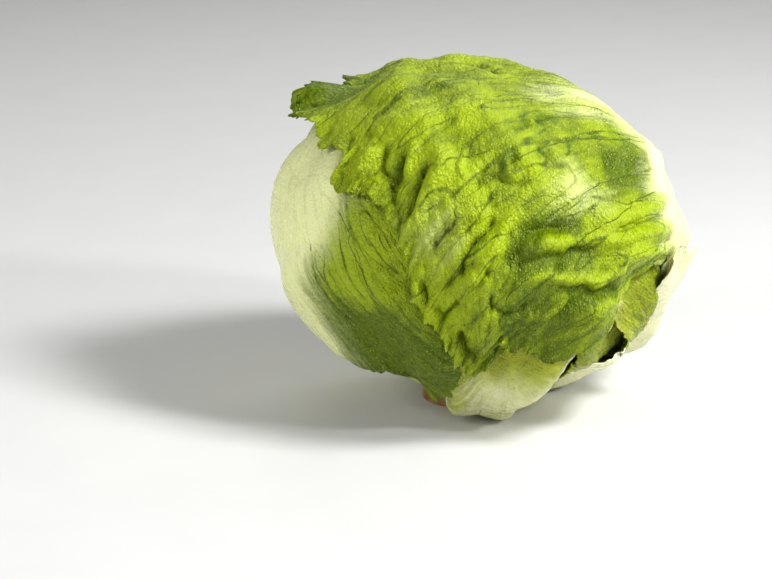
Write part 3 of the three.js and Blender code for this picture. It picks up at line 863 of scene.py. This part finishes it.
def thread_offset(leaf, points):
    """Rough distance in millimetres from the nearest of the long thin veins that fan out."""
    rho, theta = fan_coordinates(leaf, points)
    swirl = 0.5 * layered_noise(with_zero(points), 26, leaf.seed + 44)
    cells = fan_cells(rho, theta, THREAD_CELLS) + np.stack([swirl, 0.8 * swirl, 0 * swirl], -1)
    spacing = np.maximum(rho, 12) / THREAD_CELLS[1]
    return noise(cells, 1, leaf.seed + 45) * spacing * 0.7


def crumple_relief(leaf, dirs, points, vein_gap, threads):
    """Long folds along the veins, puckers with sharp creases between them, and fine wrinkles."""
    rho, theta = fan_coordinates(leaf, points)
    flat = with_zero(points)
    swirl = 0.35 * layered_noise(flat, 22, leaf.seed + 40)[:, None]
    fold_cells = fan_cells(rho, theta, FOLD_CELLS) + swirl
    folds = layered_noise(fold_cells, 1, leaf.seed + 41, 3)
    pucker_cells = fan_cells(rho, theta, PUCKER_CELLS) + swirl
    puckers = 2 * np.abs(layered_noise(pucker_cells, 1, leaf.seed + 51, 2)) - 0.5
    wrinkle_cells = fan_cells(rho, theta, WRINKLE_CELLS) + 2 * swirl
    wrinkles = np.abs(layered_noise(wrinkle_cells, 1, leaf.seed + 56, 2)) - 0.25
    lumps = layered_noise(flat, LUMP_SIZE, leaf.seed + 71, 2)
    between_veins = 0.5 - np.exp(-((vein_gap / 1.8) ** 2)) - 0.6 * np.exp(-((threads / 0.7) ** 2))
    patch = smooth(-0.25, 0.45, layered_noise(flat, PATCH_SIZE, leaf.seed + 61))
    wild = 0.15 * patch + placed_strength(leaf.crumpled, dirs)
    calm = leaf.crumple * (1.1 * folds + 0.5 * between_veins + 0.9 * wrinkles)
    return calm + wild * (1.1 * puckers + 0.6 * between_veins + 0.5 * lumps + 1.2 * wrinkles)


def ruffle_relief(leaf, rounds, to_margin, perimeter):
    """Waves of the margin: short ones at its very rim, long ones further in."""
    along = rounds * perimeter
    ring = np.stack([np.cos(rounds * 2 * math.pi), np.sin(rounds * 2 * math.pi), 0 * rounds], -1)
    places = ring * perimeter / (2 * math.pi)
    drift = RUFFLE_DRIFT * noise(places, RUFFLE_DRIFT_SIZE, leaf.seed + 81)
    height = 0
    for wave, (length, share, band) in enumerate(RUFFLE_WAVES):
        phase = 2 * math.pi * along / length + drift * (wave + 1)
        swing = 0.5 + 0.5 * np.sin(phase)
        height = height + share * swing * smooth(leaf.ruffle_band * band, 0, to_margin)
    return leaf.ruffle_height * height


def leaf_surface(leaf, points, rounds, perimeter, vein_gap, threads):
    """Middle of the blade in millimetres, its half thickness, and what the materials need."""
    dirs = leaf.chart.to_direction(points)
    to_margin = -leaf.field.at(points)
    rib = leaf.rib_profile(dirs)
    seen = smooth(*HIDDEN_BAND, clearance(leaf, dirs))
    from_root = CHART_RADIUS * angle_to(dirs, leaf.root_dir)
    off_root = 1 - np.exp(-((from_root / ROOT_BAND) ** 2))
    flare = placed_strength(leaf.flares, dirs)
    frill = 1 + placed_strength(leaf.frill, dirs)
    inside = smooth(1, PUFF_BAND, to_margin)
    thickness = BLADE + leaf.rib_thickness * rib
    thickness *= 0.45 + 0.55 * smooth(0, RIM_BAND, to_margin)
    placed = line_relief(leaf, points)
    wild = crumple_relief(leaf, dirs, points, vein_gap, threads)
    wild *= 1 - 0.85 * np.minimum(1, rib * 1.6)
    wild *= 1 - 0.6 * np.clip(placed_strength(PALE_AND_HIGHLIGHT_SPOTS.get(leaf.name, []), dirs), 0, 1)
    relief = (placed + wild) * (0.25 + 0.75 * smooth(0, CALM_BAND, to_margin)) * off_root
    kept_off = np.maximum(relief, -GAP - leaf.puff * inside + LEAST_GAP)
    ruffle = ruffle_relief(leaf, rounds, to_margin, perimeter) * off_root * frill
    lift = (
        leaf.rib_arch * rib
        + leaf.puff * inside
        + (kept_off + ruffle) * seen
        + flare * smooth(FLARE_BAND, 0, to_margin)
        + leaf.bulge * filling(leaf, dirs)
    )
    radius = inner_radius(leaf.level, dirs) + lift + thickness / 2
    return dirs, radius, thickness / 2, relief, to_margin, rib


def vertex_normals(places, faces):
    a, b, c = (places[faces[:, k]] for k in range(3))
    cross = np.cross(b - a, c - a)
    normals = np.zeros_like(places)
    for k in range(3):
        np.add.at(normals, faces[:, k], cross)
    return normals / np.maximum(np.linalg.norm(normals, axis=1, keepdims=True), 1e-12)


def make_object(name, places, faces, attributes):
    """A smooth mesh in metres from places in millimetres."""
    mesh = bpy.data.meshes.new(name)
    mesh.vertices.add(len(places))
    mesh.vertices.foreach_set("co", (places * MM).astype(np.float32).ravel())
    mesh.loops.add(3 * len(faces))
    mesh.loops.foreach_set("vertex_index", faces.astype(np.int32).ravel())
    mesh.polygons.add(len(faces))
    mesh.polygons.foreach_set("loop_start", np.arange(0, 3 * len(faces), 3, dtype=np.int32))
    mesh.update(calc_edges=True)
    mesh.polygons.foreach_set("use_smooth", np.ones(len(faces), bool))
    for key, values in attributes.items():
        values = np.asarray(values, np.float32)
        if values.ndim == 1:
            layer = mesh.attributes.new(key, "FLOAT", "POINT")
            layer.data.foreach_set("value", values)
        else:
            layer = mesh.attributes.new(key, "FLOAT_VECTOR", "POINT")
            layer.data.foreach_set("vector", values.ravel())
    mesh.validate()
    piece = bpy.data.objects.new(name, mesh)
    bpy.context.scene.collection.objects.link(piece)
    return piece


def leaf_side(leaf, veins, facing, widest):
    """One face of a leaf: its vertices, triangles, attributes and the points on its rim."""
    points, rounds, faces, rim_count = leaf_grid(leaf, widest)
    offset, gap, size = veins.offsets(points)
    threads = thread_offset(leaf, points)
    dirs, radius, half, relief, to_margin, rib = leaf_surface(
        leaf, points, rounds, rim_count * leaf.step, gap, threads)
    middle = HEAD_CENTRE + dirs * radius[:, None]
    normals = vertex_normals(middle, faces)
    if np.sum(normals * dirs) < 0:
        normals = -normals
    turned = np.sum(vertex_normals(middle, faces) * dirs) * facing < 0
    if turned:
        faces = faces[:, ::-1]
    spare = 0 if facing > 0 else HIDDEN_SPARE * smooth(5, 14, to_margin)
    places = middle + normals * (facing * (half + spare))[:, None]
    rho, theta = fan_coordinates(leaf, points)
    n = len(points)
    attributes = {
        "chart": np.column_stack([points, np.full(n, leaf.seed * 10.0)]),
        "fan": np.column_stack([rho, theta * 60, np.full(n, leaf.seed * 3.0)]),
        "vein": offset,
        "vein_gap": gap,
        "vein_size": size,
        "thread": threads,
        "relief": relief,
        "rim": to_margin,
        "pale": paleness(leaf, dirs, points, rib, theta),
        "shade_and_dark": placed_strength(SHADE_AND_DARK_SPOTS.get(leaf.name, []), dirs),
    }
    return places, faces, attributes, rim_count, turned


def leaf_arrays(leaf):
    """Vertices, triangles and attributes of one closed leaf; its hidden face is plainer."""
    veins = Veins(leaf)
    places, faces, attributes, rim_count, turned = leaf_side(leaf, veins, 1, 1)
    within, inner_faces, inner_attributes, _, _ = leaf_side(leaf, veins, -1, HIDDEN_STEPS)
    n = len(places)
    i = np.arange(rim_count)
    j = (i + 1) % rim_count
    rim = np.vstack([np.stack([i, n + i, n + j], -1), np.stack([i, n + j, j], -1)])
    if turned:
        rim = rim[:, ::-1]
    places = np.vstack([places, within])
    places[:, 2] = rest_on_floor(places[:, 2])
    merged = {key: np.concatenate([attributes[key], inner_attributes[key]]) for key in attributes}
    return places, np.vstack([faces, inner_faces + n, rim]), merged


def paleness(leaf, dirs, points, rib, theta):
    streaks = noise(np.column_stack([theta * 26, 0.02 * points]), 1, leaf.seed + 91)
    placed = np.minimum(1, 1.2 * rib) + placed_strength(PALE_AND_HIGHLIGHT_SPOTS.get(leaf.name, []), dirs)
    return placed + 0.16 * streaks + 0.18 * layered_noise(with_zero(points), 14, leaf.seed + 92)


class Shader:
    """A material's node tree, with short calls for the nodes that it needs."""

    def __init__(self, name):
        self.material = bpy.data.materials.new(name)
        self.material.use_nodes = True
        self.tree = self.material.node_tree
        self.tree.nodes.clear()

    def node(self, kind, inputs=None, **settings):
        node = self.tree.nodes.new(kind)
        for key, value in settings.items():
            setattr(node, key, value)
        for key, value in (inputs or {}).items():
            socket = node.inputs[key]
            if isinstance(value, bpy.types.NodeSocket):
                self.tree.links.new(value, socket)
            else:
                socket.default_value = value
        return node

    def attribute(self, name, output="Fac"):
        return self.node("ShaderNodeAttribute", attribute_name=name).outputs[output]

    def math(self, operation, a, b=0.0):
        return self.node("ShaderNodeMath", {0: a, 1: b}, operation=operation).outputs[0]

    def plus(self, a, b):
        return self.math("ADD", a, b)

    def times(self, a, b):
        return self.math("MULTIPLY", a, b)

    def size_of(self, a):
        return self.math("ABSOLUTE", a)

    def ramp(self, value, low, high, start=0.0, end=1.0):
        inputs = {"Value": value, 1: low, 2: high, 3: start, 4: end}
        return self.node("ShaderNodeMapRange", inputs, interpolation_type="SMOOTHSTEP").outputs[0]

    def mix(self, factor, a, b):
        inputs = {0: factor, 6: a, 7: b}
        return self.node("ShaderNodeMix", inputs, data_type="RGBA", clamp_factor=True).outputs[2]

    def noise(self, vector, scale, detail):
        inputs = {"Vector": vector, "Scale": scale, "Detail": detail, "Roughness": 0.55}
        return self.node("ShaderNodeTexNoise", inputs).outputs["Fac"]

    def stretch(self, vector, scale):
        inputs = {"Vector": vector, "Scale": scale}
        return self.node("ShaderNodeMapping", inputs).outputs[0]

    def cells(self, vector, scale, feature="F1"):
        inputs = {"Vector": vector, "Scale": scale}
        return self.node("ShaderNodeTexVoronoi", inputs, feature=feature).outputs["Distance"]

    def bump(self, height, strength, distance, normal=None):
        inputs = {"Height": height, "Strength": strength, "Distance": distance}
        if normal is not None:
            inputs["Normal"] = normal
        return self.node("ShaderNodeBump", inputs).outputs[0]

    def finish(self, colour, roughness, normal, **constants):
        inputs = {"Base Color": colour, "Roughness": roughness, "Normal": normal}
        inputs.update({key.replace("_", " "): value for key, value in constants.items()})
        shader = self.node("ShaderNodeBsdfPrincipled", inputs)
        self.node("ShaderNodeOutputMaterial", {"Surface": shader.outputs[0]})
        return self.material


def rgb(red, green, blue):
    """A colour from its screen values, 0 to 255."""
    linear = [((c / 255 + 0.055) / 1.055) ** 2.4 if c > 10 else c / 255 / 12.92
              for c in (red, green, blue)]
    return (*linear, 1)


def leaf_green(s, chart, fan, grain, light, deep, pale):
    """Mottled green with painted shade in the hollows, painted light on the ridges and placed
    spots of deeper green and painted shade, and how far it has faded to the pale of the rib.
    """
    streaks = s.math("SUBTRACT", s.noise(s.stretch(fan, (0.05, 0.9, 1)), 1.0, 4.0), 0.5)
    clouds = s.math("SUBTRACT", s.noise(chart, 0.09, 4.0), 0.5)
    # Painted shade in the creases and painted light on the ridges, from the height of the relief
    crease_shade = s.ramp(s.attribute("relief"), -2.6, 2.2, 0.75, -0.4)
    # Placed spots of deeper green, of painted shade and of painted light, with mottling
    shade_and_dark = s.plus(s.attribute("shade_and_dark"), s.plus(crease_shade, s.times(clouds, 2.0)))
    shade_and_dark = s.plus(shade_and_dark, s.times(streaks, -1.0))
    green = s.mix(s.ramp(shade_and_dark, -0.35, 0.95), light, deep)
    fade = s.ramp(s.plus(s.attribute("pale"), s.times(streaks, 0.35)), 0.1, 1.0)
    colour = s.mix(fade, green, pale)
    return s.mix(s.times(s.ramp(grain, 0.5, 0.8), 0.25), colour, light), fade


def leaf_veins(s, chart, fade):
    """Strength of all the vein lines, and the branching ones alone for the bump."""
    size = s.attribute("vein_size")
    width = s.plus(0.11, s.times(size, 0.03))
    offset = s.math("DIVIDE", s.size_of(s.attribute("vein")), width)
    near = s.ramp(s.attribute("vein_gap"), 0.9, 1.5, 1.0, 0.0)
    line = s.times(s.ramp(offset, 0.6, 1.5, 1.0, 0.0), near)
    net = s.ramp(s.cells(chart, 0.42, "DISTANCE_TO_EDGE"), 0.01, 0.05, 0.2, 0.0)
    strong = s.times(s.ramp(size, 1.0, 3.5, 0.4, 0.85), s.ramp(size, 6.0, 11.0, 1.0, 0.1))
    veins = s.math("MAXIMUM", s.times(line, strong), net)
    bold = s.ramp(s.noise(chart, 0.12, 2.0), 0.35, 0.65, 0.3, 0.9)
    thread = s.ramp(s.size_of(s.attribute("thread")), 0.08, 0.34, 1.0, 0.0)
    veins = s.math("MAXIMUM", veins, s.times(thread, bold))
    return s.times(veins, s.ramp(fade, 0.1, 0.8, 1.0, 0.15)), line


def leaf_normal(s, chart, fan, fade, line):
    """Fine wrinkles, sunken veins and pimples, all fainter where the leaf is pale."""
    rough = s.ramp(fade, 0.3, 1.0, 1.0, 0.3)
    wrinkles = s.times(s.noise(s.stretch(fan, (0.25, 0.6, 1)), 1.0, 4.0), rough)
    normal = s.bump(wrinkles, 0.5, 0.0008)
    normal = s.bump(line, 0.35, -0.0003, normal)
    normal = s.bump(s.times(s.noise(chart, 1.0, 3.0), rough), 0.9, 0.0009, normal)
    return s.bump(s.times(s.cells(chart, 0.8), rough), 0.8, -0.0006, normal)


def leaf_material(name, deep, light, pale, vein, edge, glint_strength=0.7):
    """Waxy leaf: mottled green that fades to a pale rib, with veins, a light rim and small dots of
    painted glints.
    """
    s = Shader(name)
    chart = s.attribute("chart", "Vector")
    fan = s.attribute("fan", "Vector")
    grain = s.noise(chart, 1.1, 3.0)
    colour, fade = leaf_green(s, chart, fan, grain, light, deep, pale)
    veins, line = leaf_veins(s, chart, fade)
    colour = s.mix(veins, colour, vein)
    frayed = s.plus(s.attribute("rim"), s.times(grain, -1.2))
    colour = s.mix(s.ramp(frayed, -0.3, 1.3, 0.9, 0.0), colour, edge)
    # Painted glints: small bright dots, in patches, that stand in for sparkles of the lamps on the
    # wax
    painted_glints = s.ramp(s.cells(chart, 0.8), 0.12, 0.24, 1.0, 0.0)
    glint_patches = s.ramp(s.noise(chart, 0.3, 2.0), 0.42, 0.56)
    colour = s.mix(s.times(s.times(painted_glints, glint_patches), glint_strength), colour, rgb(218, 230, 84))
    roughness = s.ramp(s.noise(chart, 0.3, 4.0), 0.35, 0.65, 0.2, 0.38)
    return s.finish(
        colour, roughness, leaf_normal(s, chart, fan, fade, line),
        Subsurface_Weight=0.12, Subsurface_Radius=(1.0, 0.8, 0.1), Subsurface_Scale=0.0012,
        IOR=1.38, Specular_Tint=(1, 1, 0.6, 1),
    )


def stem_material():
    """Cut face: browned by the air at its rim, cream towards the middle."""
    s = Shader("cut_stem_fine")
    place = s.node("ShaderNodeTexCoord").outputs["Object"]
    blotches = s.noise(place, 180, 5.0)
    fibres = s.noise(s.stretch(place, (1, 1, 0.15)), 900, 3.0)
    browned = s.mix(s.ramp(blotches, 0.3, 0.7), rgb(112, 72, 38), rgb(180, 136, 84))
    colour = s.mix(s.ramp(s.attribute("cream"), 0.2, 0.9), browned, rgb(222, 206, 150))
    colour = s.mix(s.times(s.ramp(fibres, 0.5, 0.8), 0.4), colour, rgb(100, 44, 16))
    normal = s.bump(fibres, 0.5, 0.0004)
    return s.finish(colour, s.ramp(blotches, 0.2, 0.8, 0.45, 0.75), normal, IOR=1.4)


def turned_faces(rings, sides):
    """Triangles of rings of points from the lowest up, then a lowest and a highest point."""
    j = np.arange(sides)
    after = (j + 1) % sides
    i = np.arange(rings - 1)[:, None] * sides
    a, b = (i + j).ravel(), (i + after).ravel()
    last = (rings - 1) * sides
    bottom, top = rings * sides, rings * sides + 1
    return np.vstack([
        np.stack([a, b, b + sides], -1),
        np.stack([a, b + sides, a + sides], -1),
        np.stack([np.full(sides, bottom), after, j], -1),
        np.stack([np.full(sides, top), last + j, last + after], -1),
    ])


def core_arrays():
    """The heart's core: a ball of puckered inner leaf under its three leaves."""
    lat = (np.arange(1, CORE_RINGS + 1) / (CORE_RINGS + 1) - 0.5) * math.pi
    lon = np.arange(CORE_SIDES) * 2 * math.pi / CORE_SIDES
    lat, lon = (a.ravel() for a in np.meshgrid(lat, lon, indexing="ij"))
    dirs = np.stack([np.cos(lat) * np.cos(lon), np.cos(lat) * np.sin(lon), np.sin(lat)], -1)
    dirs = np.vstack([dirs, [[0, 0, -1], [0, 0, 1]]])
    wrinkle = 0.5 * layered_noise(dirs * 70, CORE_WRINKLE_SIZE, 5) - 0.5
    places = HEAD_CENTRE + dirs * (core_radius(dirs) + wrinkle)[:, None]
    low = places[:, 2] < CORE_FOOT
    beside = np.hypot(places[:, 0], places[:, 1]) < STEM_RADIUS + 2
    places[low & beside, 2] = np.maximum(places[low & beside, 2], STEM_HEIGHT + 1)
    far = np.full(len(places), 9.0)
    none = 0 * far
    attributes = {
        "chart": dirs * CHART_RADIUS, "fan": dirs * CHART_RADIUS, "thread": far, "vein": far,
        "vein_gap": far, "vein_size": none, "relief": wrinkle, "rim": far, "pale": none + 0.5,
        "shade_and_dark": none,
    }
    return places, turned_faces(CORE_RINGS, CORE_SIDES), attributes


def joined(parts):
    """One set of arrays from several."""
    places, faces, attributes = [], [], []
    start = 0
    for part_places, part_faces, part_attributes in parts:
        places.append(part_places)
        faces.append(part_faces + start)
        attributes.append(part_attributes)
        start += len(part_places)
    merged = {key: np.concatenate([a[key] for a in attributes]) for key in attributes[0]}
    return np.vstack(places), np.vstack(faces), merged


def stem_arrays():
    """The cut stem, with an uneven side and a rough cut face."""
    profile = [
        (0, 0), (6, 0), (11, 0), (STEM_RADIUS - 0.9, 0), (STEM_RADIUS - 0.2, 0.3),
        (STEM_RADIUS, 0.9), (STEM_RADIUS - 0.6, 4), (STEM_RADIUS - 2.4, 8),
        (STEM_RADIUS - 4.5, 13), (STEM_RADIUS - 7.5, STEM_HEIGHT - 6),
        (STEM_RADIUS - 10.5, STEM_HEIGHT - 1.5), (0, STEM_HEIGHT),
    ]
    line = smooth_line([np.array(p, float) for p in profile], 5)[1:-1]
    turn = np.arange(STEM_SIDES) * 2 * math.pi / STEM_SIDES
    ring = np.stack([np.cos(turn), np.sin(turn)], -1)
    places = np.vstack([
        np.column_stack([ring * max(radius, 0.4), np.full(STEM_SIDES, max(height, 0))])
        for radius, height in line
    ])
    side = smooth(0.2, 2, places[:, 2])
    places[:, :2] *= (1 - 0.03 * side * np.abs(layered_noise(places, 5, 3)))[:, None]
    places = np.vstack([places, [[0, 0, 0], [0, 0, STEM_HEIGHT]]])
    cream = smooth(STEM_RADIUS - 2, 4, np.hypot(places[:, 0], places[:, 1]))
    cream *= smooth(3, 0, places[:, 2])
    return places, turned_faces(len(line), STEM_SIDES), {"cream": cream}


leaves = [Leaf(level, **spec) for level, spec in enumerate(LEAVES)]

GREEN = leaf_material(
    "green_leaf_fine",
    deep=rgb(84, 105, 0), light=rgb(152, 173, 8), pale=rgb(232, 236, 172), vein=rgb(64, 86, 0),
    edge=rgb(214, 220, 120),
)
PALE = leaf_material(
    "pale_rib_fine",
    deep=rgb(138, 152, 8), light=rgb(188, 194, 50), pale=rgb(222, 222, 182),
    vein=rgb(160, 172, 50), edge=rgb(240, 240, 214), glint_strength=0.15,
)
INNER = leaf_material(
    "inner_leaf_fine",
    deep=rgb(118, 130, 0), light=rgb(176, 180, 34), pale=rgb(222, 222, 136), vein=rgb(120, 140, 4),
    edge=rgb(240, 240, 190), glint_strength=0.2,
)
LOOKS = {
    "leaf_inner_right": (INNER, "inner_leaf"),
    "leaf_torn": (INNER, "inner_leaf"),
    "leaf_front_left": (PALE, "pale_rib"),
    "leaf_front": (PALE, "pale_rib"),
    "leaf_back": (GREEN, "green_leaf"),
    "leaf_left": (GREEN, "green_leaf"),
    "leaf_cap": (GREEN, "green_leaf"),
    "leaf_right": (PALE, "pale_rib"),
}


def dress(name, arrays, material, node):
    """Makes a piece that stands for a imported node."""
    piece = make_object(name, *arrays)
    piece.data.materials.append(material)
    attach(piece, BODY)
    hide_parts(node)


heart_parts = [core_arrays()] + [leaf_arrays(leaf) for leaf in leaves if leaf.in_heart]
dress("heart_fine", joined(heart_parts), INNER, "heart")
for leaf in leaves:
    if not leaf.in_heart:
        material, slot = LOOKS[leaf.name]
        dress(leaf.name + "_fine", leaf_arrays(leaf), material, leaf.name)
dress("stem_fine", stem_arrays(), stem_material(), "stem")


def make_camera():
    right = Vector((1, 0, 0))
    up = Vector((0, math.sin(VIEW_ELEVATION), math.cos(VIEW_ELEVATION)))
    forward = Vector((0, math.cos(VIEW_ELEVATION), -math.sin(VIEW_ELEVATION)))
    across = (PHOTO_CENTRE[0] - ORIGIN_PIXEL[0]) * METRES_PER_PIXEL
    above = (ORIGIN_PIXEL[1] - PHOTO_CENTRE[1]) * METRES_PER_PIXEL
    data = bpy.data.cameras.new("camera")
    data.sensor_width = SENSOR_WIDTH
    data.lens = SENSOR_WIDTH * VIEW_DISTANCE / METRES_PER_PIXEL / PHOTO_WIDTH
    camera = bpy.data.objects.new("camera", data)
    camera.location = right * across + up * above - forward * VIEW_DISTANCE
    camera.rotation_euler = forward.to_track_quat("-Z", "Y").to_euler()
    bpy.context.scene.collection.objects.link(camera)
    bpy.context.scene.camera = camera


def softbox(name, heading, distance, size, power):
    data = bpy.data.lights.new(name, "AREA")
    data.shape = "RECTANGLE"
    data.size, data.size_y = size
    data.energy = power
    lamp = bpy.data.objects.new(name, data)
    target = Vector(LIGHTS_AIM)
    lamp.location = target + Vector(heading).normalized() * distance
    lamp.rotation_euler = (target - lamp.location).to_track_quat("-Z", "Y").to_euler()
    bpy.context.scene.collection.objects.link(lamp)


def make_floor():
    half = FLOOR_HALF
    mesh = bpy.data.meshes.new("floor")
    corners = [(-half, -half, 0), (half, -half, 0), (half, half, 0), (-half, half, 0)]
    mesh.from_pydata(corners, [], [(0, 1, 2, 3)])
    s = Shader("floor_paper")
    place = s.node("ShaderNodeTexCoord").outputs["Object"]
    tone = s.mix(s.noise(place, 30, 2.0), (0.62, 0.62, 0.61, 1), (0.66, 0.66, 0.65, 1))
    mesh.materials.append(s.finish(tone, 0.8, s.bump(s.noise(place, 400, 2.0), 0.05, 0.0002)))
    floor = bpy.data.objects.new("floor", mesh)
    bpy.context.scene.collection.objects.link(floor)


def make_world(strength):
    world = bpy.data.worlds.new("studio")
    world.use_nodes = True
    background = world.node_tree.nodes["Background"]
    background.inputs["Color"].default_value = (1, 1, 1, 1)
    background.inputs["Strength"].default_value = strength
    bpy.context.scene.world = world


make_camera()
make_floor()
make_world(WORLD_STRENGTH)
for name, light in SOFTBOXES.items():
    softbox(name, *light)
bpy.context.scene.view_settings.view_transform = "Standard"
